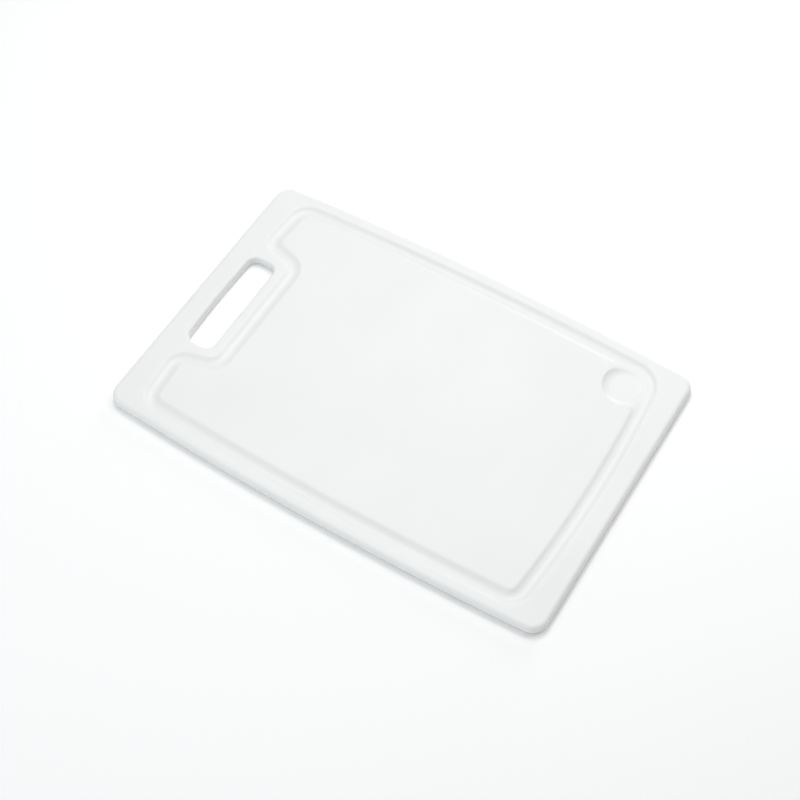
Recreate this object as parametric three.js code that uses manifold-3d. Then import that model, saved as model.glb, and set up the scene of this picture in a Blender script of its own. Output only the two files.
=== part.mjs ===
// Cutting board, moulded in one piece of white plastic.
//
// The board lies flat: +X runs along its length, away from the handle; +Y runs across it, towards
// the draining well; +Z points up out of the cutting surface. The origin is the centre of the
// underside. Everything is in millimetres.

import * as THREE from 'three';
import { mergeVertices } from 'three/addons/utils/BufferGeometryUtils.js';
import Module from 'manifold-3d';

// ---------------------------------------------------------------- driving dimensions

// Slab
const LENGTH = 360;
const WIDTH = 240; // at mid-length, where the two bowed long sides are furthest apart
const THICKNESS = 8;
const SIDE_BOW = 5.5; // rise of each long side's arc over the full length
const CORNER_RADIUS = 12.5; // in plan
const EDGE_RADIUS = 3.5; // rounding of the rim, above and below

// Arc shared by the two ends of the groove and by the outer side of the hand slot
const END_ARC_RADIUS = 941;

// Hand slot
const HANDLE_BAR = 18.2; // width of the bar between the slot and the end of the board
const SLOT_WIDTH = 23.7;
const SLOT_LENGTH = 88;
const SLOT_CORNER_RADIUS = 7.5;
const SLOT_LIP_RADIUS = 2;

// Juice groove
const GROOVE_SIDE_INSET = 14.3; // long side of the board to the groove's centreline
const GROOVE_END_INSET = 20.9; // end of the board to the groove's centreline, at mid-width
const GROOVE_HANDLE_INSET = 22.4; // the same at the handle's end
const GROOVE_CORNER_RADIUS = 11.5; // of the centreline
const GROOVE_WELL_CORNER_RADIUS = 17; // the same in the corner with the well
const GROOVE_HALF_WIDTH = 7;
const GROOVE_DEPTH = 1.9;
const GROOVE_LIP_RADIUS = 5;

// Jog that takes the groove round the hand slot
const JOG_CLEARANCE = 13.2; // slot to the centreline of the groove beside it
const JOG_HALF_STRAIGHT = 42.5;
const JOG_NEAR_RADIUS = 13; // bend beside the slot
const JOG_FAR_RADIUS = 9; // bend back into the end of the groove
const JOG_TURN = THREE.MathUtils.degToRad(75);

// Draining well, in the corner that the groove empties into
const WELL_X = 137.7;
const WELL_Y = 85;
const WELL_RADIUS = 17.5; // at the cutting surface
const WELL_DEPTH = 2.5;
const WELL_LIP_RADIUS = 2;
const WELL_FLOOR_RADIUS = 10.8; // fillet between the wall and the flat floor

// Facets: fine enough to follow each curve within a few hundredths of a millimetre
const SIDE_STEPS = 8;
const END_STEPS = 6;
const CORNER_STEPS = 6;
const JOG_STEPS = 5;
const FILLET_STEPS = 3;
const WELL_STEPS = 40;
const CUTTER_RISE = 1; // how far each cutter stands clear of the faces it opens

// ---------------------------------------------------------------- plan curves

// Points of an arc with their left-hand normals. Left is towards the centre when the arc turns
// anticlockwise, and away from it when the arc turns clockwise.
function arc(centre, radius, from, to, steps) {
  const side = to > from ? -1 : 1;
  return Array.from({ length: steps + 1 }, (_, i) => {
    const angle = from + ((to - from) * i) / steps;
    const normal = new THREE.Vector2(Math.cos(angle), Math.sin(angle));
    const point = centre.clone().addScaledVector(normal, radius);
    return { point, normal: normal.multiplyScalar(side) };
  });
}

function offset(curve, distance) {
  return curve.map(({ point, normal }) => point.clone().addScaledVector(normal, distance));
}

// The same curve on the other side of a mirror line, walked backwards so that it stays
// anticlockwise.
function mirrored(curve, scaleX, scaleY) {
  const flip = new THREE.Vector2(scaleX, scaleY);
  return curve
    .map(({ point, normal }) => ({ point: point.clone().multiply(flip), normal: normal.clone().multiply(flip) }))
    .reverse();
}

// Drops the points that two joined arcs share.
function joined(...curves) {
  const points = curves.flat();
  return points.filter((here, i) => {
    const next = points[(i + 1) % points.length];
    return here.point.distanceTo(next.point) > 1e-6;
  });
}

// Centre of a corner arc that touches two larger arcs from the inside, in the first quadrant.
function cornerCentre(first, firstRadius, second, secondRadius, radius) {
  const a = firstRadius - radius;
  const b = secondRadius - radius;
  const apart = second.clone().sub(first);
  const distance = apart.length();
  const along = (a * a - b * b + distance * distance) / (2 * distance);
  const across = Math.sqrt(a * a - along * along);
  const unit = apart.divideScalar(distance);
  const foot = first.clone().addScaledVector(unit, along);
  const aside = new THREE.Vector2(-unit.y, unit.x);
  const [one, other] = [across, -across].map((d) => foot.clone().addScaledVector(aside, d));
  return one.y > other.y ? one : other;
}

const angleFrom = (centre, point) => Math.atan2(point.y - centre.y, point.x - centre.x);

const sideArcRadius = ((LENGTH / 2) ** 2 + SIDE_BOW ** 2) / (2 * SIDE_BOW);
const sideArcCentre = new THREE.Vector2(0, WIDTH / 2 - sideArcRadius);

// Rim of the slab, anticlockwise: straight ends, rounded corners and bowed long sides.
function boardCurve() {
  const x = LENGTH / 2 - CORNER_RADIUS;
  const reach = sideArcRadius - CORNER_RADIUS;
  const corner = new THREE.Vector2(x, sideArcCentre.y + Math.sqrt(reach * reach - x * x));
  const turn = angleFrom(sideArcCentre, corner);
  const quarter = [
    ...arc(corner, CORNER_RADIUS, 0, turn, CORNER_STEPS),
    ...arc(sideArcCentre, sideArcRadius, turn, Math.PI / 2, SIDE_STEPS / 2),
  ];
  const far = joined(quarter, mirrored(quarter, -1, 1));
  return joined(far, mirrored(far, 1, -1));
}

// Hand slot, anticlockwise: its outer side follows the arc of the groove's ends.
function slotCurve() {
  const outer = -LENGTH / 2 + HANDLE_BAR;
  const inner = outer + SLOT_WIDTH;
  const y = SLOT_LENGTH / 2 - SLOT_CORNER_RADIUS;
  const bow = new THREE.Vector2(outer + END_ARC_RADIUS, 0);
  const reach = END_ARC_RADIUS - SLOT_CORNER_RADIUS;
  const innerCorner = new THREE.Vector2(inner - SLOT_CORNER_RADIUS, y);
  const outerCorner = new THREE.Vector2(bow.x - Math.sqrt(reach * reach - y * y), y);
  const turn = angleFrom(bow, outerCorner);
  const half = [
    ...arc(innerCorner, SLOT_CORNER_RADIUS, 0, Math.PI / 2, CORNER_STEPS),
    ...arc(outerCorner, SLOT_CORNER_RADIUS, Math.PI / 2, turn, CORNER_STEPS),
    ...arc(bow, END_ARC_RADIUS, turn, Math.PI, END_STEPS / 2),
  ];
  return joined(half, mirrored(half, 1, -1));
}

// Centreline of the groove, anticlockwise: bowed ends, long sides parallel to the board's own,
// and the jog round the hand slot.
function grooveHalf(cornerRadius) {
  const sideRadius = sideArcRadius - GROOVE_SIDE_INSET;
  const rightEnd = new THREE.Vector2(LENGTH / 2 - GROOVE_END_INSET - END_ARC_RADIUS, 0);
  const leftEnd = new THREE.Vector2(END_ARC_RADIUS + GROOVE_HANDLE_INSET - LENGTH / 2, 0);
  const rightCorner = cornerCentre(rightEnd, END_ARC_RADIUS, sideArcCentre, sideRadius, cornerRadius);
  const leftCorner = cornerCentre(leftEnd, END_ARC_RADIUS, sideArcCentre, sideRadius, GROOVE_CORNER_RADIUS);
  const rightTurns = [rightEnd, sideArcCentre].map((centre) => angleFrom(centre, rightCorner));
  const leftTurns = [sideArcCentre, leftEnd].map((centre) => angleFrom(centre, leftCorner));

  // Bend beside the slot, then the slanted stretch that leaves it
  const jogX = -LENGTH / 2 + HANDLE_BAR + SLOT_WIDTH + JOG_CLEARANCE;
  const nearBend = new THREE.Vector2(jogX - JOG_NEAR_RADIUS, JOG_HALF_STRAIGHT);
  const outward = new THREE.Vector2(Math.cos(JOG_TURN), Math.sin(JOG_TURN));
  const slantStart = nearBend.clone().addScaledVector(outward, JOG_NEAR_RADIUS);
  const slant = new THREE.Vector2(-outward.y, outward.x);

  // The far bend touches the slanted stretch and the arc of the groove's end
  const reach = END_ARC_RADIUS - JOG_FAR_RADIUS;
  const start = slantStart.clone().addScaledVector(outward, JOG_FAR_RADIUS).sub(leftEnd);
  const half = start.dot(slant);
  const run = -half + Math.sqrt(half * half - start.lengthSq() + reach * reach);
  const farBend = start.clone().add(leftEnd).addScaledVector(slant, run);
  const farTurn = angleFrom(leftEnd, farBend);

  return joined(
    arc(rightEnd, END_ARC_RADIUS, 0, rightTurns[0], END_STEPS / 2),
    arc(rightCorner, cornerRadius, ...rightTurns, CORNER_STEPS),
    arc(sideArcCentre, sideRadius, rightTurns[1], leftTurns[0], SIDE_STEPS),
    arc(leftCorner, GROOVE_CORNER_RADIUS, ...leftTurns, CORNER_STEPS),
    arc(leftEnd, END_ARC_RADIUS, leftTurns[1], farTurn, END_STEPS / 2),
    arc(farBend, JOG_FAR_RADIUS, farTurn, Math.PI + JOG_TURN, JOG_STEPS),
    arc(nearBend, JOG_NEAR_RADIUS, JOG_TURN, 0, JOG_STEPS),
  );
}

// Only the +Y half has the well, with a wider corner round it.
const grooveCurve = () =>
  joined(grooveHalf(GROOVE_WELL_CORNER_RADIUS), mirrored(grooveHalf(GROOVE_CORNER_RADIUS), 1, -1));

// ---------------------------------------------------------------- solids

// Closed solid through a stack of level loops that all hold the same number of points, each
// anticlockwise. The stack is capped at both ends, or runs back into its first loop as a ring.
function loft(loops, { ring = false } = {}) {
  const count = loops[0].points.length;
  const positions = loops.flatMap(({ points, z }) => points.flatMap((p) => [p.x, p.y, z]));
  const faces = [];
  const links = ring ? loops.length : loops.length - 1;
  for (let level = 0; level < links; level += 1) {
    const low = level * count;
    const high = ((level + 1) % loops.length) * count;
    for (let i = 0; i < count; i += 1) {
      const next = (i + 1) % count;
      faces.push(low + i, low + next, high + next, low + i, high + next, high + i);
    }
  }
  if (!ring) {
    const top = (loops.length - 1) * count;
    for (const [a, b, c] of THREE.ShapeUtils.triangulateShape(loops[0].points, [])) {
      faces.push(c, b, a);
    }
    for (const [a, b, c] of THREE.ShapeUtils.triangulateShape(loops.at(-1).points, [])) {
      faces.push(top + a, top + b, top + c);
    }
  }
  const geometry = new THREE.BufferGeometry();
  geometry.setAttribute('position', new THREE.Float32BufferAttribute(positions, 3));
  geometry.setIndex(faces);
  return geometry;
}

// Steps of a quarter-round edge: how far it stands back from the wall at each height above the face.
function quarterRound(radius) {
  return Array.from({ length: FILLET_STEPS + 1 }, (_, i) => {
    const angle = (Math.PI / 2) * (i / FILLET_STEPS);
    return { back: radius * (1 - Math.sin(angle)), height: radius * (1 - Math.cos(angle)) };
  });
}

// Half of a trough's section, from its lip to its floor: a rounded lip that runs without a break
// into a rounded floor.
function troughSection(depth, lipRadius, floorRadius) {
  const slope = Math.acos(1 - depth / (lipRadius + floorRadius));
  const reach = (lipRadius + floorRadius) * Math.sin(slope);
  const steps = Array.from({ length: FILLET_STEPS + 1 }, (_, i) => (slope * i) / FILLET_STEPS);
  const lip = steps.map((t) => [reach - lipRadius * Math.sin(t), -lipRadius * (1 - Math.cos(t))]);
  const floor = steps.map((t) => [floorRadius * Math.sin(t), floorRadius * (1 - Math.cos(t)) - depth]);
  return [...lip, ...floor.reverse().slice(1)];
}

function slab() {
  const rim = boardCurve();
  const round = quarterRound(EDGE_RADIUS);
  const lower = round.map(({ back, height }) => ({ points: offset(rim, back), z: height }));
  const upper = round.map(({ back, height }) => ({ points: offset(rim, back), z: THICKNESS - height }));
  return loft([...lower, ...upper.reverse()]);
}

function slotCutter() {
  const rim = slotCurve();
  const round = quarterRound(SLOT_LIP_RADIUS);
  const lower = round.map(({ back, height }) => ({ points: offset(rim, -back), z: height }));
  const upper = round.map(({ back, height }) => ({ points: offset(rim, -back), z: THICKNESS - height }));
  const mouth = offset(rim, -SLOT_LIP_RADIUS);
  return loft([
    { points: mouth, z: -CUTTER_RISE },
    ...lower,
    ...upper.reverse(),
    { points: mouth, z: THICKNESS + CUTTER_RISE },
  ]);
}

function grooveCutter() {
  const centreline = grooveCurve();
  const slope = 2 * Math.atan(GROOVE_DEPTH / GROOVE_HALF_WIDTH);
  const floorRadius = GROOVE_HALF_WIDTH / Math.sin(slope) - GROOVE_LIP_RADIUS;
  const half = troughSection(GROOVE_DEPTH, GROOVE_LIP_RADIUS, floorRadius);
  const section = [
    ...half.map(([across, z]) => [-across, z]).reverse(),
    [-GROOVE_HALF_WIDTH, CUTTER_RISE],
    [GROOVE_HALF_WIDTH, CUTTER_RISE],
    ...half.slice(0, -1),
  ];
  const loops = section.map(([across, z]) => ({ points: offset(centreline, across), z: THICKNESS + z }));
  return loft(loops, { ring: true });
}

function wellCutter() {
  const half = troughSection(WELL_DEPTH, WELL_LIP_RADIUS, WELL_FLOOR_RADIUS);
  const flat = WELL_RADIUS - half[0][0];
  const profile = [
    new THREE.Vector2(0, -WELL_DEPTH),
    ...half.reverse().map(([across, z]) => new THREE.Vector2(flat + across, z)),
    new THREE.Vector2(WELL_RADIUS, CUTTER_RISE),
    new THREE.Vector2(0, CUTTER_RISE),
  ];
  const geometry = new THREE.LatheGeometry(profile, WELL_STEPS);
  geometry.rotateX(Math.PI / 2);
  geometry.translate(WELL_X, WELL_Y, THICKNESS);
  geometry.deleteAttribute('normal');
  geometry.deleteAttribute('uv');
  return mergeVertices(geometry);
}

// ---------------------------------------------------------------- cutting

const wasm = await Module();
wasm.setup();

function toSolid(geometry) {
  return new wasm.Manifold(
    new wasm.Mesh({
      numProp: 3,
      vertProperties: new Float32Array(geometry.attributes.position.array),
      triVerts: new Uint32Array(geometry.index.array),
    }),
  );
}

function toGeometry(solid) {
  const { vertProperties, triVerts } = solid.getMesh();
  const geometry = new THREE.BufferGeometry();
  geometry.setAttribute('position', new THREE.Float32BufferAttribute(vertProperties, 3));
  geometry.setIndex(Array.from(triVerts));
  geometry.computeVertexNormals();
  return geometry;
}

function board() {
  const cutters = [slotCutter(), grooveCutter(), wellCutter()];
  const solid = cutters.reduce((body, cutter) => body.subtract(toSolid(cutter)), toSolid(slab()));
  const plastic = new THREE.MeshStandardMaterial({ color: 0xf1f4f2, roughness: 0.42, metalness: 0 });
  const mesh = new THREE.Mesh(toGeometry(solid), plastic);
  mesh.name = 'board';
  return mesh;
}

const group = new THREE.Group();
group.name = 'cutting_board';
group.add(board());

export default group;
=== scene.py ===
"""Looks of a one-piece white plastic cutting board.

The board lies flat: +X runs along its length, away from the handle; +Y runs across it, towards the
draining well; +Z points up out of the cutting surface. Every size is in metres.
"""

import logging
import math
from dataclasses import dataclass, field
from enum import Enum

import bmesh
import bpy
import numpy as np
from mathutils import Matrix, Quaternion, Vector
from mathutils.geometry import delaunay_2d_cdt
from mathutils.kdtree import KDTree


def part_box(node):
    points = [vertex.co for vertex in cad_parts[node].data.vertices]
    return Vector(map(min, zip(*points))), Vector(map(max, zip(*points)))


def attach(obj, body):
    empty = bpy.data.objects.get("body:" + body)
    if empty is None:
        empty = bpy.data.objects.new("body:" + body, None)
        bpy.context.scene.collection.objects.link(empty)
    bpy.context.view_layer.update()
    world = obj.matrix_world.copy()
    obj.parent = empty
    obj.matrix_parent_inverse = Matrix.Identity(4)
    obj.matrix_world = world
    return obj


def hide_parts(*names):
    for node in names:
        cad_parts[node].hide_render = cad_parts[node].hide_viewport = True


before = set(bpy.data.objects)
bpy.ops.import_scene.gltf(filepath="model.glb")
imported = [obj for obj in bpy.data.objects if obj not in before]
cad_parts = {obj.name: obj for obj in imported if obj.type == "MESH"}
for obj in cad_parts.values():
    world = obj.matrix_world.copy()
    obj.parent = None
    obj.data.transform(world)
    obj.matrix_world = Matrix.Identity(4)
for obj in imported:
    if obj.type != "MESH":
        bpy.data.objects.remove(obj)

log = logging.getLogger("cutting_board")

CAD_NODE = "board"
ROOT_BODY = "root"
POLISH_ATTRIBUTE = "polish"
TROUGH_SIZES = ("Flat", "Depth", "Lip Radius", "Floor Radius")

SHARED_STATION = 1e-6
SHARED_CORNER = 1e-7

Value = float | bpy.types.NodeSocket


class Side(Enum):
    """The side of a plan line that the board lies on, as one walks along it."""

    LEFT = 1
    RIGHT = -1


def placed(name: str, data: bpy.types.ID) -> bpy.types.Object:
    """Makes an object and puts it in the scene.

    Args:
        name: The object's name.
        data: Its mesh, light or camera.

    Returns:
        The object.
    """
    made = bpy.data.objects.new(name, data)
    bpy.context.scene.collection.objects.link(made)
    return made


# ------------------------------ plan lines


@dataclass
class PlanLine:
    """A closed line in plan, walked anticlockwise.

    Attributes:
        points: One row for each station along the line.
        normals: The unit vector to the left of the line at each station.
    """

    points: np.ndarray
    normals: np.ndarray

    def offset(self, distance: float) -> np.ndarray:
        """Moves every station to the left of the line.

        Args:
            distance: How far to the left; to the right when it is negative.

        Returns:
            The moved stations, one row each.
        """
        return self.points + self.normals * distance


@dataclass
class LineWriter:
    """Writes a plan line stretch by stretch.

    Attributes:
        pitch: The longest step along a straight or gently bowed stretch.
        turn_step: The longest step round a bend, in degrees.
    """

    pitch: float = 0.003
    turn_step: float = 3.5
    points: list[np.ndarray] = field(default_factory=list)
    normals: list[np.ndarray] = field(default_factory=list)

    def arc(self, centre: np.ndarray, radius: float, start: float, end: float) -> None:
        """Adds an arc.

        Args:
            centre: The arc's centre.
            radius: The arc's radius.
            start: The angle that it starts at, in radians.
            end: The angle that it ends at; smaller than start where the line turns clockwise.
        """
        step = min(self.pitch / radius, math.radians(self.turn_step))
        count = max(2, math.ceil(abs(end - start) / step))
        angles = np.linspace(start, end, count + 1)
        outward = np.column_stack([np.cos(angles), np.sin(angles)])
        self.points.append(centre + radius * outward)
        self.normals.append(-outward if end > start else outward)

    def straight(self, start: np.ndarray, end: np.ndarray) -> None:
        """Adds a straight stretch.

        Args:
            start: Where it starts.
            end: Where it ends.
        """
        along = end - start
        length = float(np.linalg.norm(along))
        count = max(2, math.ceil(length / self.pitch))
        self.points.append(start + np.outer(np.linspace(0.0, 1.0, count + 1), along))
        left = np.array([-along[1], along[0]]) / length
        self.normals.append(np.tile(left, (count + 1, 1)))

    def mirrored(self, flip: tuple[float, float]) -> "LineWriter":
        """Makes the same stretches on the other side of a mirror line, to be walked back.

        Args:
            flip: The factors for x and y, such as (1, -1).

        Returns:
            A writer that holds the mirrored stretches.
        """
        factors = np.array(flip)
        points = [stretch[::-1] * factors for stretch in reversed(self.points)]
        normals = [stretch[::-1] * factors for stretch in reversed(self.normals)]
        return LineWriter(self.pitch, self.turn_step, points, normals)

    def extend(self, other: "LineWriter") -> None:
        """Adds another writer's stretches after its own.

        Args:
            other: The other writer.
        """
        self.points = self.points + other.points
        self.normals = self.normals + other.normals

    def close(self) -> PlanLine:
        """Joins the stretches into one closed line, dropping the stations that two of them share.

        Returns:
            The closed line.
        """
        points = np.vstack(self.points)
        normals = np.vstack(self.normals)
        gaps = np.linalg.norm(np.roll(points, -1, axis=0) - points, axis=1)
        keep = gaps > SHARED_STATION
        return PlanLine(points[keep], normals[keep])


def bearing(centre: np.ndarray, point: np.ndarray) -> float:
    """Finds the direction of a point as seen from a centre.

    Args:
        centre: The centre.
        point: The point.

    Returns:
        The angle from +X, in radians.
    """
    return math.atan2(point[1] - centre[1], point[0] - centre[0])


def nested_arc_centre(
    first: np.ndarray, first_radius: float, second: np.ndarray, second_radius: float, radius: float
) -> np.ndarray:
    """Finds the centre of a small arc that touches two large arcs from the inside.

    Args:
        first: The first large arc's centre.
        first_radius: The first large arc's radius.
        second: The second large arc's centre.
        second_radius: The second large arc's radius.
        radius: The small arc's radius.

    Returns:
        The centre on the +Y side.
    """
    a = first_radius - radius
    b = second_radius - radius
    apart = second - first
    distance = float(np.linalg.norm(apart))
    along = (a * a - b * b + distance * distance) / (2 * distance)
    across = math.sqrt(a * a - along * along)
    unit = apart / distance
    foot = first + unit * along
    aside = np.array([-unit[1], unit[0]]) * across
    return max(foot + aside, foot - aside, key=lambda centre: centre[1])


# ------------------------------ sections


@dataclass(frozen=True)
class QuarterRound:
    """A quarter-round edge between a wall and a level face.

    Attributes:
        radius: Its radius.
        steps: How many steps it is made in.
    """

    radius: float
    steps: int = 9

    def stations(self) -> list[float]:
        """Says where the edge bends.

        Returns:
            Distances from the wall, in order.
        """
        angles = [math.pi / 2 * i / self.steps for i in range(self.steps + 1)]
        return [self.radius * (1 - math.cos(angle)) for angle in angles]


@dataclass(frozen=True)
class Trough:
    """A trough with a rounded lip that runs without a break into a rounded floor.

    Attributes:
        depth: The depth of its floor below the face.
        lip: The radius of its lip.
        floor: The radius of the curve between its wall and its floor.
        flat: Half the width of the level part of its floor.
        steps: How many steps each of the two curves is made in.
    """

    depth: float
    lip: float
    floor: float
    flat: float = 0.0
    steps: int = 8

    @property
    def slope(self) -> float:
        """The steepest slope of the wall, in radians."""
        return math.acos(1 - self.depth / (self.lip + self.floor))

    @property
    def reach(self) -> float:
        """Half the trough's whole width, out to where its lip leaves the face."""
        return self.flat + (self.lip + self.floor) * math.sin(self.slope)

    def stations(self) -> list[float]:
        """Says where the section bends.

        Returns:
            Distances from the middle, from the floor outwards.
        """
        turns = [self.slope * i / self.steps for i in range(self.steps + 1)]
        floor = [self.flat + self.floor * math.sin(turn) for turn in turns]
        lip = [self.reach - self.lip * math.sin(turn) for turn in reversed(turns[:-1])]
        return floor + lip


# ------------------------------ parts of the plan


@dataclass
class Rim:
    """The outside of the board: straight ends, rounded corners and bowed long sides.

    Attributes:
        length: The board's length, along X.
        width: The board's width, along Y, where the sides bow out furthest.
        bow: How far each long side bows out.
        corner_radius: The radius of the corners in plan.
        edge: The rounded edge of the rim, above and below.
    """

    length: float
    width: float
    bow: float = 0.0055
    corner_radius: float = 0.0125
    edge: QuarterRound = QuarterRound(0.0035)

    @property
    def side_radius(self) -> float:
        """The radius of each long side's arc."""
        return ((self.length / 2) ** 2 + self.bow**2) / (2 * self.bow)

    @property
    def side_centre(self) -> np.ndarray:
        """The centre of the arc of the long side at +Y."""
        return np.array([0.0, self.width / 2 - self.side_radius])

    def line(self) -> PlanLine:
        """Writes the outline.

        Returns:
            The outline in plan.
        """
        x = self.length / 2 - self.corner_radius
        reach = self.side_radius - self.corner_radius
        corner = np.array([x, self.side_centre[1] + math.sqrt(reach * reach - x * x)])
        turn = bearing(self.side_centre, corner)
        writer = LineWriter()
        writer.straight(np.array([self.length / 2, 0.0]), np.array([self.length / 2, corner[1]]))
        writer.arc(corner, self.corner_radius, 0.0, turn)
        writer.arc(self.side_centre, self.side_radius, turn, math.pi / 2)
        writer.extend(writer.mirrored((-1, 1)))
        writer.extend(writer.mirrored((1, -1)))
        return writer.close()


@dataclass
class HandSlot:
    """The slot that four fingers go through. Its outer side is bowed like the groove's ends.

    Attributes:
        rim: The board's outside.
        bow_radius: The radius of its bowed side.
        handle_bar: The width of the bar between the slot and the board's end.
        width: Its width, along X.
        length: Its length, along Y.
        corner_radius: The radius of its corners.
        edge: Its rounded lip, above and below.
    """

    rim: Rim
    bow_radius: float
    handle_bar: float = 0.0182
    width: float = 0.0237
    length: float = 0.088
    corner_radius: float = 0.0075
    edge: QuarterRound = QuarterRound(0.002)

    @property
    def outer_x(self) -> float:
        """Where the outer side is, at mid-width."""
        return -self.rim.length / 2 + self.handle_bar

    @property
    def inner_x(self) -> float:
        """Where the side next to the cutting surface is."""
        return self.outer_x + self.width

    def line(self) -> PlanLine:
        """Writes the slot's wall.

        Returns:
            The wall in plan.
        """
        y = self.length / 2 - self.corner_radius
        bow = np.array([self.outer_x + self.bow_radius, 0.0])
        reach = self.bow_radius - self.corner_radius
        inner = np.array([self.inner_x - self.corner_radius, y])
        outer = np.array([bow[0] - math.sqrt(reach * reach - y * y), y])
        turn = bearing(bow, outer)
        top = y + self.corner_radius
        writer = LineWriter(pitch=0.0025)
        writer.straight(np.array([self.inner_x, 0.0]), np.array([self.inner_x, y]))
        writer.arc(inner, self.corner_radius, 0.0, math.pi / 2)
        writer.straight(np.array([inner[0], top]), np.array([outer[0], top]))
        writer.arc(outer, self.corner_radius, math.pi / 2, turn)
        writer.arc(bow, self.bow_radius, turn, math.pi)
        writer.extend(writer.mirrored((1, -1)))
        return writer.close()


@dataclass
class JuiceGroove:
    """The groove round the cutting surface, with its jog past the hand slot.

    Attributes:
        rim: The board's outside.
        slot: The slot that it jogs past.
        end_radius: The radius of its bowed ends.
        side_inset: How far its centreline is from the long sides.
        well_end_inset: How far it is from the end at +X, at mid-width.
        handle_end_inset: How far its bowed end would be from the end at -X, at mid-width.
        corner_radius: The radius of its corners.
        well_corner_radius: The radius of the corner beside the well.
        jog_clearance: How far it is from the slot's inner side.
        jog_half_straight: Half the length of its straight beside the slot.
        jog_near_radius: The radius of the jog's bends next to that straight.
        jog_far_radius: The radius of the jog's bends next to the board's end.
        jog_turn: How far the jog's bends turn.
        section: Its section.
    """

    rim: Rim
    slot: HandSlot
    end_radius: float
    side_inset: float = 0.0143
    well_end_inset: float = 0.0209
    handle_end_inset: float = 0.0224
    corner_radius: float = 0.0115
    well_corner_radius: float = 0.017
    jog_clearance: float = 0.0132
    jog_half_straight: float = 0.0425
    jog_near_radius: float = 0.013
    jog_far_radius: float = 0.009
    jog_turn: float = math.radians(75)
    section: Trough = Trough(depth=0.0019, lip=0.005, floor=0.00885)

    def half(self, corner_radius: float) -> LineWriter:
        """Writes the +Y half of the centreline, from the well's end round to beside the slot.

        Args:
            corner_radius: The radius of the corner at the well's end.

        Returns:
            The writer that holds it.
        """
        side_radius = self.rim.side_radius - self.side_inset
        side = self.rim.side_centre
        right = np.array([self.rim.length / 2 - self.well_end_inset - self.end_radius, 0.0])
        left = np.array([self.end_radius + self.handle_end_inset - self.rim.length / 2, 0.0])
        corner = nested_arc_centre(right, self.end_radius, side, side_radius, corner_radius)
        left_corner = nested_arc_centre(left, self.end_radius, side, side_radius, self.corner_radius)
        right_turns = [bearing(centre, corner) for centre in (right, side)]
        left_turns = [bearing(centre, left_corner) for centre in (side, left)]

        jog_x = self.slot.inner_x + self.jog_clearance
        near = np.array([jog_x - self.jog_near_radius, self.jog_half_straight])
        outward = np.array([math.cos(self.jog_turn), math.sin(self.jog_turn)])
        slant = np.array([-outward[1], outward[0]])
        slant_start = near + outward * self.jog_near_radius
        start = slant_start + outward * self.jog_far_radius - left
        reach = self.end_radius - self.jog_far_radius
        half = float(start @ slant)
        run = -half + math.sqrt(half * half - float(start @ start) + reach * reach)
        far = start + left + slant * run
        far_turn = bearing(left, far)

        writer = LineWriter()
        writer.arc(right, self.end_radius, 0.0, right_turns[0])
        writer.arc(corner, corner_radius, *right_turns)
        writer.arc(side, side_radius, right_turns[1], left_turns[0])
        writer.arc(left_corner, self.corner_radius, *left_turns)
        writer.arc(left, self.end_radius, left_turns[1], far_turn)
        writer.arc(far, self.jog_far_radius, far_turn, math.pi + self.jog_turn)
        writer.straight(slant_start + slant * run, slant_start)
        writer.arc(near, self.jog_near_radius, self.jog_turn, 0.0)
        writer.straight(np.array([jog_x, self.jog_half_straight]), np.array([jog_x, 0.0]))
        return writer

    def line(self) -> PlanLine:
        """Writes the whole centreline.

        Returns:
            The centreline in plan.
        """
        upper = self.half(self.well_corner_radius)
        upper.extend(self.half(self.corner_radius).mirrored((1, -1)))
        return upper.close()


@dataclass
class DrainingWell:
    """The round well in the corner, which the groove runs into.

    Attributes:
        centre: Its place in plan.
        section: Its section, from its middle outwards.
        sides: How many points each ring round it has.
    """

    centre: tuple[float, float] = (0.1377, 0.085)
    section: Trough = Trough(depth=0.0025, lip=0.002, floor=0.0108, flat=0.0099)
    sides: int = 120

    def ring(self, radius: float) -> np.ndarray:
        """Points round a circle about the well's centre.

        Args:
            radius: The circle's radius.

        Returns:
            The points, one row each.
        """
        angles = np.linspace(0.0, 2 * math.pi, self.sides, endpoint=False)
        return np.array(self.centre) + radius * np.column_stack([np.cos(angles), np.sin(angles)])


# ------------------------------ flat sheets


def hexagonal_points(low: np.ndarray, high: np.ndarray, spacing: float) -> np.ndarray:
    """Points of an even triangular lattice over a box.

    Args:
        low: The box's lowest corner.
        high: The box's highest corner.
        spacing: The distance between neighbours.

    Returns:
        The points, one row each.
    """
    row_step = spacing * math.sqrt(3) / 2
    rows = []
    for i, y in enumerate(np.arange(low[1], high[1], row_step)):
        xs = np.arange(low[0] + (i % 2) * spacing / 2, high[0], spacing)
        rows.append(np.column_stack([xs, np.full(len(xs), y)]))
    return np.vstack(rows)


def within(loop: np.ndarray, points: np.ndarray) -> np.ndarray:
    """Says which points lie inside a loop that bulges outwards all round.

    Args:
        loop: The loop's corners, anticlockwise.
        points: The points to test.

    Returns:
        True for each point inside.
    """
    edges = np.roll(loop, -1, axis=0) - loop
    inside = np.ones(len(points), dtype=bool)
    for corner, edge in zip(loop, edges):
        away = points - corner
        inside &= edge[0] * away[:, 1] - edge[1] * away[:, 0] > 0
    return inside


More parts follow.
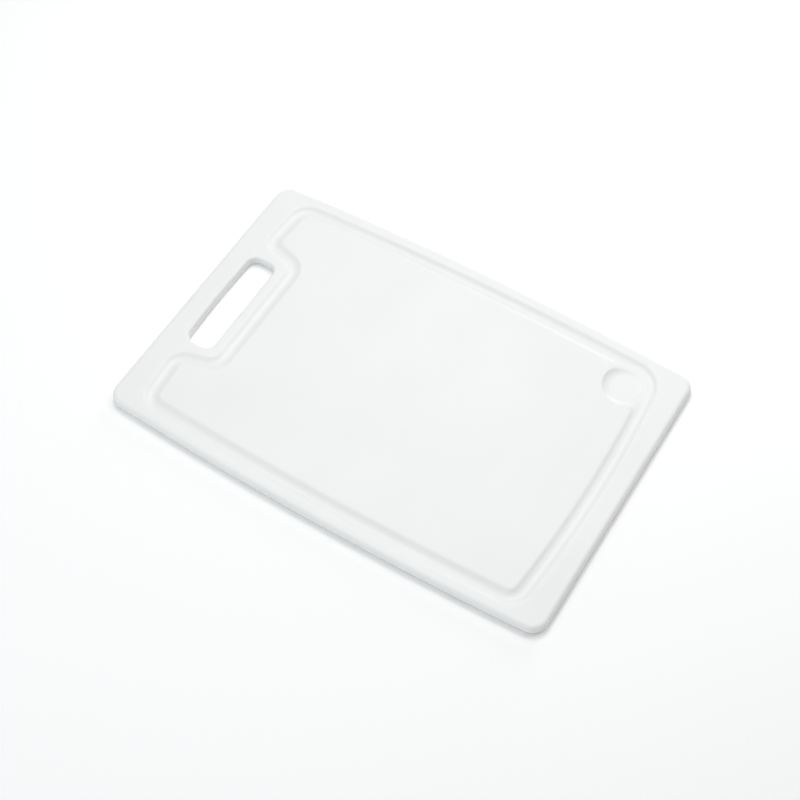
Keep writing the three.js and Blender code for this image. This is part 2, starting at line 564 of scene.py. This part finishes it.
@dataclass
class PlanSheet:
    """A flat sheet cut into triangles along the lines that it will bend on.

    Attributes:
        rim: The outline of the board.
        slot: The wall of the hand slot, which is left open.
        lines: Closed lines for the triangles to follow.
        loose: Points that keep the triangles even between the lines.
    """

    rim: np.ndarray
    slot: np.ndarray
    lines: list[np.ndarray] = field(default_factory=list)
    loose: list[np.ndarray] = field(default_factory=list)

    def fill(self, area: np.ndarray, spacing: float, clearance: float) -> None:
        """Scatters points over an area, away from the lines.

        Args:
            area: A loop round the area.
            spacing: The distance between the points.
            clearance: How far they stay away from every point so far.
        """
        busy = np.vstack([self.rim, self.slot, *self.lines, *self.loose])
        tree = KDTree(len(busy))
        for i, (x, y) in enumerate(busy):
            tree.insert((x, y, 0.0), i)
        tree.balance()
        lattice = hexagonal_points(area.min(axis=0), area.max(axis=0), spacing)
        lattice = lattice[within(area, lattice)]
        free = [p for p in lattice if tree.find((p[0], p[1], 0.0))[2] > clearance]
        self.loose.append(np.array(free))

    def mesh(self, name: str) -> bpy.types.Mesh:
        """Makes the sheet.

        Args:
            name: The mesh's name.

        Returns:
            A level mesh at height 0, with its faces up.
        """
        loops = [self.rim, self.slot, *self.lines]
        points = [*loops, *self.loose]
        edges = []
        first = 0
        for loop in loops:
            count = len(loop)
            edges += [(first + i, first + (i + 1) % count) for i in range(count)]
            first += count
        corners = [Vector(p) for p in np.vstack(points)]
        found = delaunay_2d_cdt(corners, edges, [], 0, SHARED_CORNER, False)
        places = np.array([tuple(p) for p in found[0]])
        faces = np.array(found[2])
        faces = faces[~within(self.slot, places[faces].mean(axis=1))]
        mesh = bpy.data.meshes.new(name)
        level = np.column_stack([places, np.zeros(len(places))])
        mesh.from_pydata(level.tolist(), [], faces.tolist())
        return mesh


# ------------------------------ node trees


@dataclass
class TreeWriter:
    """Adds nodes to a tree and links them.

    Attributes:
        tree: The tree.
    """

    tree: bpy.types.NodeTree

    def node(self, kind: str, **settings: object) -> bpy.types.Node:
        """Adds a node.

        Args:
            kind: The node's type.
            settings: Properties to set on it.

        Returns:
            The new node.
        """
        made = self.tree.nodes.new(kind)
        for name, value in settings.items():
            setattr(made, name, value)
        return made

    def result(self, kind: str, inputs: dict[str, object], **settings: object) -> bpy.types.NodeSocket:
        """Adds a node and feeds it.

        Args:
            kind: The node's type.
            inputs: What goes into each named input.
            settings: Properties to set on it.

        Returns:
            Its first output.
        """
        made = self.node(kind, **settings)
        for name, value in inputs.items():
            self.feed(made.inputs[name], value)
        return made.outputs[0]

    def feed(self, socket: bpy.types.NodeSocket, value: object) -> None:
        """Links a socket to another one, or sets its own value.

        Args:
            socket: The input to feed.
            value: An output socket, or a plain value.
        """
        if isinstance(value, bpy.types.NodeSocket):
            self.tree.links.new(value, socket)
        else:
            socket.default_value = value

    def math(self, operation: str, *values: Value) -> bpy.types.NodeSocket:
        """Adds a Math node.

        Args:
            operation: Its operation.
            values: Its inputs, in order.

        Returns:
            Its output.
        """
        made = self.node("ShaderNodeMath", operation=operation)
        for socket, value in zip(made.inputs, values):
            self.feed(socket, value)
        return made.outputs[0]


class SectionNodes(TreeWriter):
    """Works out how far a surface drops at a distance from a wall or from a trough's middle."""

    def root_gap(self, radius: Value, across: Value) -> bpy.types.NodeSocket:
        """Drop of a circle's top at a distance from its middle.

        Args:
            radius: The circle's radius.
            across: The distance from its middle.

        Returns:
            The drop.
        """
        squares = self.math("MULTIPLY", radius, radius)
        rest = self.math("SUBTRACT", squares, self.math("MULTIPLY", across, across))
        height = self.math("SQRT", self.math("MAXIMUM", rest, 0.0))
        return self.math("SUBTRACT", radius, height)

    def quarter_round(self, distance: Value, radius: Value) -> bpy.types.NodeSocket:
        """Drop of a quarter-round edge.

        Args:
            distance: The distance from the wall.
            radius: The edge's radius.

        Returns:
            The drop below the level face.
        """
        across = self.math("MAXIMUM", self.math("SUBTRACT", radius, distance), 0.0)
        return self.root_gap(radius, across)

    def trough(
        self, distance: Value, flat: Value, depth: Value, lip: Value, floor: Value
    ) -> bpy.types.NodeSocket:
        """Drop of a trough.

        Args:
            distance: The distance from its middle.
            flat: Half the width of its level floor.
            depth: Its depth.
            lip: The radius of its lip.
            floor: The radius between its wall and its floor.

        Returns:
            The drop below the level face.
        """
        both = self.math("ADD", lip, floor)
        slope = self.math("ARCCOSINE", self.math("SUBTRACT", 1.0, self.math("DIVIDE", depth, both)))
        sine = self.math("SINE", slope)
        turn = self.math("MULTIPLY", floor, sine)
        reach = self.math("MULTIPLY", both, sine)
        out = self.math("MAXIMUM", self.math("SUBTRACT", distance, flat), 0.0)
        on_floor = self.root_gap(floor, self.math("MINIMUM", out, turn))
        floor_drop = self.math("SUBTRACT", depth, on_floor)
        from_lip = self.math("MAXIMUM", self.math("SUBTRACT", reach, out), 0.0)
        lip_drop = self.root_gap(lip, self.math("MINIMUM", from_lip, lip))
        inside = self.math("LESS_THAN", out, turn)
        gain = self.math("MULTIPLY", inside, self.math("SUBTRACT", floor_drop, lip_drop))
        return self.math("ADD", lip_drop, gain)

    def eased_minimum(self, one: Value, other: Value, reach: Value) -> bpy.types.NodeSocket:
        """The smaller of two distances, eased down where they are nearly alike.

        Args:
            one: The first distance.
            other: The second distance.
            reach: The difference at which the easing ends.

        Returns:
            The joint distance.
        """
        apart = self.math("ABSOLUTE", self.math("SUBTRACT", one, other))
        near = self.math("MAXIMUM", self.math("SUBTRACT", reach, apart), 0.0)
        ease = self.math("DIVIDE", self.math("MULTIPLY", near, near), self.math("MULTIPLY", reach, 4.0))
        return self.math("SUBTRACT", self.math("MINIMUM", one, other), ease)

    def soft_deeper(self, one: Value, other: Value, sharpness: float) -> bpy.types.NodeSocket:
        """The deeper of two drops, eased where they cross.

        Args:
            one: The first drop.
            other: The second drop.
            sharpness: How tight the easing is; higher is tighter.

        Returns:
            The joint drop.
        """
        deep = self.math("MAXIMUM", one, other)
        safe = self.math("MAXIMUM", deep, 1e-7)
        ratio = self.math("DIVIDE", self.math("MINIMUM", one, other), safe)
        lift = self.math("ADD", 1.0, self.math("POWER", ratio, sharpness))
        return self.math("MULTIPLY", deep, self.math("POWER", lift, 1.0 / sharpness))


@dataclass
class MouldingTree:
    """The Geometry Nodes tree that presses two flat sheets into the board.

    The upper sheet drops at the rim, at the slot, along the groove's line and round the well; the
    lower one rises at the rim and the slot; a band swept along each wall joins them.

    Attributes:
        crossing_sharpness: How tight the edge is where the groove runs into the well.
        polish_depth: The drop over which the grain of the level faces dies out.
        weld: How near two points are before they become one.
    """

    crossing_sharpness: float = 8.0
    polish_depth: float = 0.0003
    weld: float = 4e-6

    def interface(self, tree: bpy.types.NodeTree) -> None:
        """Adds the tree's inputs and its output.

        Args:
            tree: The tree to add them to.
        """
        objects = ("Underside", "Rim Line", "Slot Line", "Groove Line", "Rim Band", "Slot Band")
        sizes = ("Thickness", "Rim Radius", "Slot Radius", "Groove Half Width", "Well Rim Radius")
        troughs = [f"{part} {size}" for part in ("Groove", "Well") for size in TROUGH_SIZES]
        new = tree.interface.new_socket
        new("Geometry", in_out="INPUT", socket_type="NodeSocketGeometry")
        for name in objects:
            new(name, in_out="INPUT", socket_type="NodeSocketObject")
        for name in (*sizes, "Mouth Easing", *troughs):
            new(name, in_out="INPUT", socket_type="NodeSocketFloat")
        new("Well Centre", in_out="INPUT", socket_type="NodeSocketVector")
        new("Finish", in_out="INPUT", socket_type="NodeSocketMaterial")
        new("Geometry", in_out="OUTPUT", socket_type="NodeSocketGeometry")

    def build(self) -> bpy.types.NodeTree:
        """Builds the tree.

        Returns:
            The tree, ready for a modifier.
        """
        tree = bpy.data.node_groups.new("press_board", "GeometryNodeTree")
        self.interface(tree)
        nodes = SectionNodes(tree)
        given = nodes.node("NodeGroupInput").outputs

        def from_object(name: str) -> bpy.types.NodeSocket:
            info = nodes.node("GeometryNodeObjectInfo", transform_space="ORIGINAL")
            nodes.feed(info.inputs["Object"], given[name])
            return info.outputs["Geometry"]

        def distance_to(line: bpy.types.NodeSocket) -> bpy.types.NodeSocket:
            near = nodes.node("GeometryNodeProximity", target_element="EDGES")
            nodes.feed(near.inputs[0], line)
            return near.outputs["Distance"]

        place = nodes.node("GeometryNodeInputPosition").outputs[0]
        rim_line, slot_line = from_object("Rim Line"), from_object("Slot Line")
        rim_drop = nodes.quarter_round(distance_to(rim_line), given["Rim Radius"])
        slot_drop = nodes.quarter_round(distance_to(slot_line), given["Slot Radius"])
        edge_drop = nodes.math("ADD", rim_drop, slot_drop)

        apart = nodes.node("ShaderNodeVectorMath", operation="DISTANCE")
        nodes.feed(apart.inputs[0], place)
        nodes.feed(apart.inputs[1], given["Well Centre"])
        groove = [given[f"Groove {size}"] for size in TROUGH_SIZES]
        well = [given[f"Well {size}"] for size in TROUGH_SIZES]
        from_groove = distance_to(from_object("Groove Line"))
        from_well = apart.outputs["Value"]
        well_margin = nodes.math("SUBTRACT", from_well, given["Well Rim Radius"])
        groove_margin = nodes.math("SUBTRACT", from_groove, given["Groove Half Width"])
        margin = nodes.eased_minimum(groove_margin, well_margin, given["Mouth Easing"])
        eased = nodes.math("MAXIMUM", nodes.math("ADD", margin, given["Groove Half Width"]), 0.0)
        groove_drop = nodes.trough(eased, *groove)
        well_drop = nodes.trough(from_well, *well)
        channel = nodes.soft_deeper(groove_drop, well_drop, self.crossing_sharpness)

        top_drop = nodes.math("ADD", edge_drop, channel)
        top_height = nodes.math("SUBTRACT", given["Thickness"], top_drop)
        turned = nodes.result("GeometryNodeFlipFaces", {"Mesh": from_object("Underside")})
        top = self.raised(nodes, self.polished(nodes, given["Geometry"], top_drop), top_height)
        under = self.raised(nodes, self.polished(nodes, turned, edge_drop), edge_drop)
        walls = [
            self.polished(nodes, self.swept(nodes, line, from_object(band)), self.polish_depth)
            for line, band in ((slot_line, "Slot Band"), (rim_line, "Rim Band"))
        ]

        joined = nodes.node("GeometryNodeJoinGeometry")
        for part in (*walls, under, top):
            tree.links.new(part, joined.inputs[0])
        pieces = {"Geometry": joined.outputs[0], "Distance": self.weld}
        welded = nodes.result("GeometryNodeMergeByDistance", pieces)
        smooth = nodes.result("GeometryNodeSetShadeSmooth", {"Geometry": welded})
        real = nodes.result("GeometryNodeRealizeInstances", {"Geometry": smooth})
        dressed = nodes.result("GeometryNodeSetMaterial", {"Geometry": real, "Material": given["Finish"]})
        nodes.feed(nodes.node("NodeGroupOutput").inputs[0], dressed)
        return tree

    def polished(self, nodes: TreeWriter, part: bpy.types.NodeSocket, drop: Value) -> bpy.types.NodeSocket:
        """Marks how far a surface has left the grained level faces.

        Args:
            nodes: The tree's writer.
            part: The part's geometry.
            drop: How far it lies below the level face.

        Returns:
            The geometry, with 0 on its level faces and 1 where it is smooth.
        """
        share = nodes.math("MINIMUM", nodes.math("DIVIDE", drop, self.polish_depth), 1.0)
        given = {"Geometry": part, "Name": POLISH_ATTRIBUTE, "Value": share}
        kind = "GeometryNodeStoreNamedAttribute"
        return nodes.result(kind, given, data_type="FLOAT", domain="POINT")

    @staticmethod
    def raised(
        nodes: TreeWriter, sheet: bpy.types.NodeSocket, height: bpy.types.NodeSocket
    ) -> bpy.types.NodeSocket:
        """Lifts a sheet by a height that differs from point to point.

        Args:
            nodes: The tree's writer.
            sheet: The sheet's geometry.
            height: The height.

        Returns:
            The lifted geometry.
        """
        lift = nodes.result("ShaderNodeCombineXYZ", {"Z": height})
        return nodes.result("GeometryNodeSetPosition", {"Geometry": sheet, "Offset": lift})

    @staticmethod
    def swept(
        nodes: TreeWriter, line: bpy.types.NodeSocket, band: bpy.types.NodeSocket
    ) -> bpy.types.NodeSocket:
        """Sweeps a band's profile along a closed line.

        Args:
            nodes: The tree's writer.
            line: The line, as a mesh of edges.
            band: The profile, as a mesh of edges.

        Returns:
            The swept mesh.
        """
        path, profile = (nodes.result("GeometryNodeMeshToCurve", {"Mesh": mesh}) for mesh in (line, band))
        upright = nodes.node("GeometryNodeSetCurveNormal")
        if "Mode" in upright.inputs:
            upright.inputs["Mode"].default_value = "Z Up"
        else:
            upright.mode = "Z_UP"
        nodes.feed(upright.inputs["Curve"], path)
        given = {"Curve": upright.outputs[0], "Profile Curve": profile}
        return nodes.result("GeometryNodeCurveToMesh", given)


# ------------------------------ finish


@dataclass(frozen=True)
class MouldTexture:
    """The skin that the plastic takes up from one treatment of the mould.

    Attributes:
        roughness: Its mean roughness.
        spread: How far the roughness wanders to either side.
        relief: The height of its relief, in metres.
    """

    roughness: float
    spread: float
    relief: float


@dataclass(frozen=True)
class MouldedPlastic:
    """White moulded plastic: satin, faintly cool and a little translucent.

    Attributes:
        pale: The lighter of the two whites that it drifts between.
        deep: The darker of them.
        drift: The size of the drifting patches.
        grained: The skin of the level faces, from a finely blasted mould.
        smooth: The skin of the groove, the well, the lips and the walls.
        grain: The size of the blasted grain.
        ripple: The size of the shallow waves that shrinkage leaves.
        ripple_height: The height of those waves.
        translucence: The share of light that spreads under the skin.
        depth: How far that light travels.
        ior: Its index of refraction.
        seed: The place in the noise that its patches are taken from.
    """

    pale: tuple[float, float, float] = (0.831, 0.835, 0.831)
    deep: tuple[float, float, float] = (0.802, 0.813, 0.805)
    drift: float = 0.07
    grained: MouldTexture = MouldTexture(roughness=0.46, spread=0.04, relief=0.000012)
    smooth: MouldTexture = MouldTexture(roughness=0.40, spread=0.02, relief=0.000002)
    grain: float = 0.0008
    ripple: float = 0.03
    ripple_height: float = 0.00003
    translucence: float = 0.12
    depth: float = 0.0015
    ior: float = 1.5
    seed: float = 4.0

    def material(self, name: str) -> bpy.types.Material:
        """Builds the material.

        Args:
            name: The material's name.

        Returns:
            The material.
        """
        made = bpy.data.materials.new(name)
        made.use_nodes = True
        made.node_tree.nodes.clear()
        nodes = TreeWriter(made.node_tree)
        place = nodes.node("ShaderNodeTexCoord").outputs["Object"]
        polish = nodes.node("ShaderNodeAttribute", attribute_name=POLISH_ATTRIBUTE).outputs["Fac"]
        shader = nodes.node("ShaderNodeBsdfPrincipled")
        shader.inputs["IOR"].default_value = self.ior
        shader.inputs["Subsurface Weight"].default_value = self.translucence
        shader.inputs["Subsurface Radius"].default_value = (1.0, 1.0, 1.0)
        shader.inputs["Subsurface Scale"].default_value = self.depth
        nodes.feed(shader.inputs["Base Color"], self.colour(nodes, place))
        nodes.feed(shader.inputs["Roughness"], self.roughness(nodes, place, polish))
        nodes.feed(shader.inputs["Normal"], self.relief(nodes, place, polish))
        nodes.feed(nodes.node("ShaderNodeOutputMaterial").inputs["Surface"], shader.outputs[0])
        return made

    def noise(
        self, nodes: TreeWriter, place: bpy.types.NodeSocket, size: float, detail: float
    ) -> bpy.types.NodeSocket:
        """Adds noise of a given size.

        Args:
            nodes: The material's writer.
            place: The place on the board.
            size: The size of its patches, in metres.
            detail: How many finer layers it has.

        Returns:
            The noise, from 0 to 1.
        """
        given = {"Vector": place, "W": self.seed, "Scale": 1 / size, "Detail": detail}
        return nodes.result("ShaderNodeTexNoise", given, noise_dimensions="4D")

    def colour(self, nodes: TreeWriter, place: bpy.types.NodeSocket) -> bpy.types.NodeSocket:
        """Lets the white drift a little over the board.

        Args:
            nodes: The material's writer.
            place: The place on the board.

        Returns:
            The colour.
        """
        ramp = nodes.node("ShaderNodeValToRGB")
        low, high = ramp.color_ramp.elements
        low.position = 0.3
        low.color = (*self.deep, 1.0)
        high.position = 0.7
        high.color = (*self.pale, 1.0)
        nodes.feed(ramp.inputs["Fac"], self.noise(nodes, place, self.drift, 3.0))
        return ramp.outputs["Color"]

    def roughness(
        self, nodes: TreeWriter, place: bpy.types.NodeSocket, polish: bpy.types.NodeSocket
    ) -> bpy.types.NodeSocket:
        """Goes from the grained skin's roughness to the smooth one's, with a little unevenness.

        Args:
            nodes: The material's writer.
            place: The place on the board.
            polish: 0 on the grained skin and 1 on the smooth one.

        Returns:
            The roughness.
        """
        step = nodes.math("MULTIPLY", polish, self.smooth.roughness - self.grained.roughness)
        mean = nodes.math("ADD", self.grained.roughness, step)
        uneven = nodes.math("SUBTRACT", self.noise(nodes, place, self.drift / 4, 4.0), 0.5)
        narrower = nodes.math("MULTIPLY", polish, self.smooth.spread - self.grained.spread)
        spread = nodes.math("ADD", self.grained.spread, narrower)
        return nodes.math("ADD", mean, nodes.math("MULTIPLY", uneven, spread))

    def relief(
        self, nodes: TreeWriter, place: bpy.types.NodeSocket, polish: bpy.types.NodeSocket
    ) -> bpy.types.NodeSocket:
        """Gives the skin its grain, over shallow waves.

        Args:
            nodes: The material's writer.
            place: The place on the board.
            polish: 0 on the grained skin and 1 on the smooth one.

        Returns:
            The normal.
        """
        lower = nodes.math("MULTIPLY", polish, self.smooth.relief - self.grained.relief)
        height = nodes.math("ADD", self.grained.relief, lower)
        grain = nodes.math("MULTIPLY", self.noise(nodes, place, self.grain, 2.0), height)
        waves = nodes.math("MULTIPLY", self.noise(nodes, place, self.ripple, 1.0), self.ripple_height)
        given = {"Strength": 1.0, "Distance": 1.0, "Height": nodes.math("ADD", grain, waves)}
        return nodes.result("ShaderNodeBump", given)


@dataclass(frozen=True)
class StagePaint:
    """Plain pale paint for the floor.

    Attributes:
        colour: Its colour.
        roughness: Its roughness.
        shine: Its specular level.
    """

    colour: tuple[float, float, float] = (0.98, 0.98, 0.98)
    roughness: float = 0.9
    shine: float = 0.1

    def material(self, name: str) -> bpy.types.Material:
        """Builds the material.

        Args:
            name: The material's name.

        Returns:
            The material.
        """
        made = bpy.data.materials.new(name)
        made.use_nodes = True
        shader = made.node_tree.nodes["Principled BSDF"]
        shader.inputs["Base Color"].default_value = (*self.colour, 1.0)
        shader.inputs["Roughness"].default_value = self.roughness
        shader.inputs["Specular IOR Level"].default_value = self.shine
        return made


# ------------------------------ the board


def edge_object(name: str, points: np.ndarray, closed: bool) -> bpy.types.Object:
    """Makes a mesh object of edges alone.

    Args:
        name: The object's name.
        points: The line's points, in plan.
        closed: Whether the last point is joined to the first.

    Returns:
        The object.
    """
    count = len(points)
    edges = [(i, (i + 1) % count) for i in range(count if closed else count - 1)]
    mesh = bpy.data.meshes.new(name)
    mesh.from_pydata([(x, y, 0.0) for x, y in points], edges, [])
    return placed(name, mesh)


@dataclass
class Pressing:
    """Sizes and lines that the moulding tree works from, and the sheets that it presses.

    Attributes:
        thickness: The board's thickness.
        rim: The board's outside.
        slot: The hand slot.
        groove: The juice groove.
        well: The draining well.
        guard: The width of the strip that keeps a bend from spreading into the level face.
        mouth_easing: The width over which the groove opens into the well.
        lattice: The spacing of the points on the level faces.
        well_lattice: The spacing of the points round the well, where two sections cross.
        parting_height: How far the mould's parting line stands out.
        parting_half_width: Half the parting line's width.
    """

    thickness: float
    rim: Rim
    slot: HandSlot
    groove: JuiceGroove
    well: DrainingWell
    guard: float = 0.0004
    mouth_easing: float = 0.009
    lattice: float = 0.007
    well_lattice: float = 0.0007
    parting_height: float = 0.00005
    parting_half_width: float = 0.00025

    def sheets(self) -> tuple[bpy.types.Mesh, bpy.types.Mesh]:
        """Makes the two flat sheets.

        Returns:
            The upper sheet and the lower one.
        """
        rim, slot, groove = self.rim.line(), self.slot.line(), self.groove.line()
        edges = [rim.offset(d) for d in self.rim.edge.stations()[1:]]
        edges.append(rim.offset(self.rim.edge.radius + self.guard))
        edges += [slot.offset(-d) for d in self.slot.edge.stations()[1:]]
        edges.append(slot.offset(-self.slot.edge.radius - self.guard))
        under = PlanSheet(rim.points, slot.points, edges)
        under.fill(rim.points, self.lattice, self.lattice / 2)

        half = [*self.groove.section.stations(), self.groove.section.reach + self.guard]
        channels = [groove.offset(d) for d in half] + [groove.offset(-d) for d in half[1:]]
        rings = [self.well.ring(d) for d in self.well.section.stations()]
        rings.append(self.well.ring(self.well.section.reach + self.guard))
        upper = PlanSheet(rim.points, slot.points, edges + channels + rings)
        mouth = self.well.ring(self.well.section.reach + self.mouth_easing)
        upper.fill(mouth, self.well_lattice, self.well_lattice / 3)
        upper.fill(rim.points, self.lattice, self.lattice / 2)
        return upper.mesh("upper_sheet"), under.mesh("lower_sheet")

    def band(self, name: str, radius: float, side: Side) -> bpy.types.Object:
        """Makes the profile of the wall between the two rounded edges, with its parting line.

        Args:
            name: The profile's name.
            radius: The radius of the edges above and below it.
            side: The side of the wall that the board is on.

        Returns:
            The profile, out along X and down along Y.
        """
        middle = self.thickness / 2
        wide, high = self.parting_half_width, self.parting_height * side.value
        bead = [(0.0, middle - wide), (high, middle - wide / 3)]
        bead += [(high, middle + wide / 3), (0.0, middle + wide)]
        points = np.array([(0.0, radius), *bead, (0.0, self.thickness - radius)])
        return edge_object(name, points * (1.0, -1.0), closed=False)

    def settings(self) -> dict[str, object]:
        """The moulding tree's inputs by name.

        Returns:
            Plain values and scratch objects.
        """
        given: dict[str, object] = {
            "Thickness": self.thickness,
            "Rim Radius": self.rim.edge.radius,
            "Slot Radius": self.slot.edge.radius,
            "Groove Half Width": self.groove.section.reach,
            "Well Rim Radius": self.well.section.reach,
            "Mouth Easing": self.mouth_easing,
            "Well Centre": (*self.well.centre, 0.0),
            "Rim Line": edge_object("rim_line", self.rim.line().points, closed=True),
            "Slot Line": edge_object("slot_line", self.slot.line().points, closed=True),
            "Groove Line": edge_object("groove_line", self.groove.line().points, closed=True),
            "Rim Band": self.band("rim_band", self.rim.edge.radius, Side.LEFT),
            "Slot Band": self.band("slot_band", self.slot.edge.radius, Side.RIGHT),
        }
        for part, section in (("Groove", self.groove.section), ("Well", self.well.section)):
            sizes = (section.flat, section.depth, section.lip, section.floor)
            for size, value in zip(TROUGH_SIZES, sizes):
                given[f"{part} {size}"] = value
        return given


@dataclass
class Board:
    """The whole board, which is one moulding.

    Attributes:
        name: The piece's name.
        plastic: Its finish.
        end_arc_radius: The radius of the bow that the groove's ends and the slot's side share.
    """

    name: str = "board_moulding"
    plastic: MouldedPlastic = MouldedPlastic()
    end_arc_radius: float = 0.941

    def pressing(self) -> Pressing:
        """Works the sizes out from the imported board's box.

        Returns:
            The sizes and lines of the board.
        """
        low, high = (Vector(corner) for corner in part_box(CAD_NODE))
        size = high - low
        rim = Rim(length=size.x, width=size.y)
        slot = HandSlot(rim, self.end_arc_radius)
        groove = JuiceGroove(rim, slot, self.end_arc_radius)
        return Pressing(size.z, rim, slot, groove, DrainingWell())

    def build(self) -> bpy.types.Object:
        """Presses the board and turns it into a plain mesh.

        Returns:
            The finished piece.
        """
        pressing = self.pressing()
        upper, lower = pressing.sheets()
        blank = placed("blank", upper)
        underside = placed("underside_blank", lower)
        finish = self.plastic.material("white_moulded_plastic")
        given = pressing.settings() | {"Underside": underside, "Finish": finish}
        modifier = blank.modifiers.new("press", "NODES")
        modifier.node_group = MouldingTree().build()
        for item in modifier.node_group.interface.items_tree:
            if item.in_out == "INPUT" and item.name in given:
                modifier[item.identifier] = given[item.name]
        graph = bpy.context.evaluated_depsgraph_get()
        mesh = bpy.data.meshes.new_from_object(blank.evaluated_get(graph))
        mesh.name = self.name
        mesh.materials.clear()
        mesh.materials.append(finish)
        scratch = [blank, *(item for item in given.values() if isinstance(item, bpy.types.Object))]
        for item in scratch:
            bpy.data.objects.remove(item)
        self.check_closed(mesh)
        return placed(self.name, mesh)

    @staticmethod
    def check_closed(mesh: bpy.types.Mesh) -> None:
        """Turns every face outwards, and stops the script if the mesh isn't one closed body.

        Args:
            mesh: The mesh to mend and test.
        """
        work = bmesh.new()
        work.from_mesh(mesh)
        bmesh.ops.recalc_face_normals(work, faces=work.faces)
        loose = sum(not edge.is_manifold for edge in work.edges)
        volume = work.calc_volume(signed=True)
        work.to_mesh(mesh)
        work.free()
        if loose or volume <= 0:
            raise ValueError(f"the board isn't closed: {loose} open edges, volume {volume:.3g} m3")

    def attach(self, piece: bpy.types.Object) -> None:
        """Puts the piece in the place of its CAD node.

        Args:
            piece: The finished board.
        """
        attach(piece, ROOT_BODY)
        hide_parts(CAD_NODE)


# ------------------------------ the studio


@dataclass
class SoftBox:
    """A square area light that points at the board.

    Attributes:
        name: The light's name.
        azimuth: Its bearing, in degrees from -Y towards +X.
        elevation: Its height above the horizon, in degrees.
        distance: Its distance from the board.
        size: The length of its side.
        power: Its power, in watts.
        colour: Its colour.
    """

    name: str
    azimuth: float
    elevation: float
    distance: float
    size: float
    power: float
    colour: tuple[float, float, float] = (1.0, 1.0, 1.0)

    def build(self, target: Vector) -> bpy.types.Object:
        """Makes the light.

        Args:
            target: The point that it faces.

        Returns:
            The light's object.
        """
        lamp = bpy.data.lights.new(self.name, "AREA")
        lamp.shape = "SQUARE"
        lamp.size = self.size
        lamp.energy = self.power
        lamp.color = self.colour
        made = placed(self.name, lamp)
        towards = direction(self.azimuth, self.elevation)
        made.location = target + towards * self.distance
        made.rotation_mode = "QUATERNION"
        made.rotation_quaternion = (-towards).to_track_quat("-Z", "Y")
        return made


def direction(azimuth: float, elevation: float) -> Vector:
    """Unit vector towards a bearing and a height above the horizon.

    Args:
        azimuth: The bearing, in degrees from -Y towards +X.
        elevation: The height, in degrees.

    Returns:
        The unit vector.
    """
    turn, rise = math.radians(azimuth), math.radians(elevation)
    flat = math.cos(rise)
    return Vector((math.sin(turn) * flat, -math.cos(turn) * flat, math.sin(rise)))


@dataclass
class Studio:
    """Pale floor, soft light and the camera.

    Attributes:
        target: The point that the camera and the lights face.
        azimuth: The camera's bearing, in degrees from -Y towards +X.
        elevation: Its height above the horizon, in degrees.
        distance: Its distance from the target.
        roll: How far it is rolled, in degrees.
        lens: Its focal length, in millimetres.
        sensor: Its sensor's width, in millimetres.
        floor_side: The length of the floor's side.
        ambient: The strength of the even surround.
    """

    target: Vector = field(default_factory=lambda: Vector((0.00395, -0.00638, 0.004)))
    azimuth: float = 35.48
    elevation: float = 58.44
    distance: float = 1.081
    roll: float = -3.99
    lens: float = 67.44
    sensor: float = 36.0
    floor_side: float = 8.0
    ambient: float = 0.31

    def build(self) -> None:
        """Makes the stage, the lights, the world and the camera."""
        self.floor()
        self.lights()
        self.world()
        self.camera()

    def floor(self) -> None:
        """Makes the floor that the board lies on."""
        mesh = bpy.data.meshes.new("floor")
        half = self.floor_side / 2
        corners = [(-half, -half, 0.0), (half, -half, 0.0), (half, half, 0.0), (-half, half, 0.0)]
        mesh.from_pydata(corners, [], [(0, 1, 2, 3)])
        mesh.materials.append(StagePaint().material("floor_paint"))
        made = placed("floor", mesh)

    def lights(self) -> None:
        """Makes the softboxes."""
        small = {"distance": 1.4, "size": 0.5}
        wide = {"distance": 1.4, "size": 0.9}
        low = {"elevation": 15.0, "distance": 1.5, "size": 0.7}
        cool = (0.92, 1.0, 1.03)
        for box in (
            SoftBox("key_box", azimuth=215.0, elevation=64.0, power=5.2, **small),
            SoftBox("right_key_box", azimuth=140.0, elevation=52.0, power=2.7, **small),
            SoftBox("back_key_box", azimuth=190.0, elevation=52.0, power=1.8, **small),
            SoftBox("overhead_box", azimuth=0.0, elevation=90.0, power=2.3, distance=1.4, size=1.0),
            SoftBox("front_top_box", azimuth=0.0, elevation=60.0, power=1.9, **wide),
            SoftBox("left_box", azimuth=300.0, elevation=60.0, power=1.1, colour=cool, **wide),
            SoftBox("back_box", azimuth=180.0, power=5.1, **low),
            SoftBox("front_box", azimuth=0.0, power=3.2, colour=cool, **low),
            SoftBox("front_left_box", azimuth=315.0, power=2.0, colour=cool, **low),
        ):
            box.build(self.target)

    def world(self) -> None:
        """Sets an even pale surround and a plain tone curve."""
        world = bpy.data.worlds.new("studio_air")
        world.use_nodes = True
        background = world.node_tree.nodes["Background"]
        background.inputs["Color"].default_value = (1.0, 1.0, 1.0, 1.0)
        background.inputs["Strength"].default_value = self.ambient
        bpy.context.scene.world = world
        bpy.context.scene.view_settings.view_transform = "Standard"

    def camera(self) -> None:
        """Makes the camera and gives it to the scene."""
        data = bpy.data.cameras.new("camera")
        data.lens = self.lens
        data.sensor_width = self.sensor
        made = placed("camera", data)
        towards = direction(self.azimuth, self.elevation)
        made.location = self.target + towards * self.distance
        made.rotation_mode = "QUATERNION"
        level = (-towards).to_track_quat("-Z", "Y")
        made.rotation_quaternion = level @ Quaternion((0.0, 0.0, 1.0), math.radians(self.roll))
        bpy.context.scene.camera = made


# ------------------------------ making it


def main() -> None:
    """Builds the studio and the board."""
    logging.basicConfig(level=logging.INFO, format="%(name)s: %(message)s")
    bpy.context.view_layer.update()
    Studio().build()
    board = Board()
    piece = board.build()
    board.attach(piece)
    log.info("%s: %d faces, %s", piece.name, len(piece.data.polygons), piece.data.materials[0].name)


if __name__ == "__main__":
    main()
